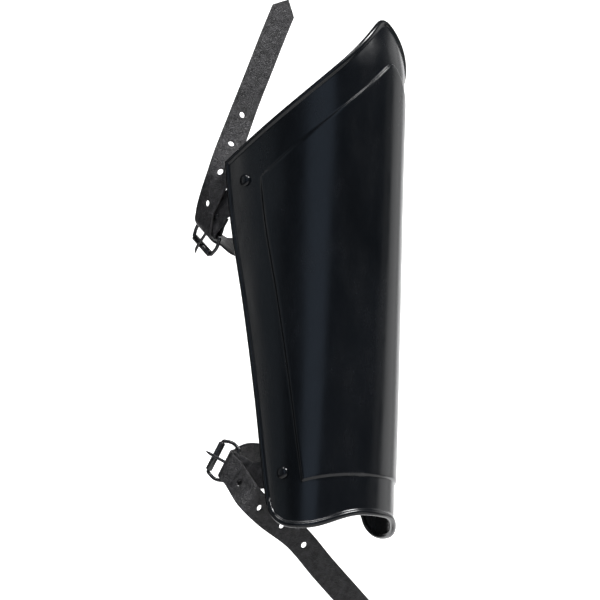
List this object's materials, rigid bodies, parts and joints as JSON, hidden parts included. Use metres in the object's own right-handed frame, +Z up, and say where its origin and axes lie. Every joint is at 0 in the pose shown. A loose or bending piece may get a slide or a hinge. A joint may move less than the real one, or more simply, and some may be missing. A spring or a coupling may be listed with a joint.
{
  "type": "greave",
  "caption": "Plate greave of blackened steel with a raised panel, a pointed knee end and an arched foot end, closed behind the calf by buckled leather straps.",
  "frame": {"origin": "on the inner face of the raised panel, in the middle of its height and on the mirror plane, where the shin bears", "axes": "+Z up the shin towards the knee point, -Y out of the front of the shin, the straps and buckles behind at +Y, the buckles at -X"},
  "size_m": [0.1706, 0.1683, 0.5323],
  "materials": {
    "blackened_steel": "glossy black with a blue tint",
    "buckle_steel": "satin black",
    "black_leather": "matt with a fine grain"
  },
  "bodies": {
    "root": {"shell": "blackened_steel", "rivet_near_upper": "blackened_steel", "rivet_near_lower": "blackened_steel", "rivet_far_upper": "blackened_steel", "rivet_far_lower": "blackened_steel", "buckle_strap_upper": "black_leather", "fold_rivet_upper": "buckle_steel", "buckle_frame_upper": "buckle_steel", "buckle_roller_upper": "buckle_steel", "buckle_prong_upper": "buckle_steel", "long_strap_upper": "black_leather", "buckle_strap_lower": "black_leather", "fold_rivet_lower": "buckle_steel", "buckle_frame_lower": "buckle_steel", "buckle_roller_lower": "buckle_steel", "buckle_prong_lower": "buckle_steel", "long_strap_lower": "black_leather"}
  },
  "joints": []
}
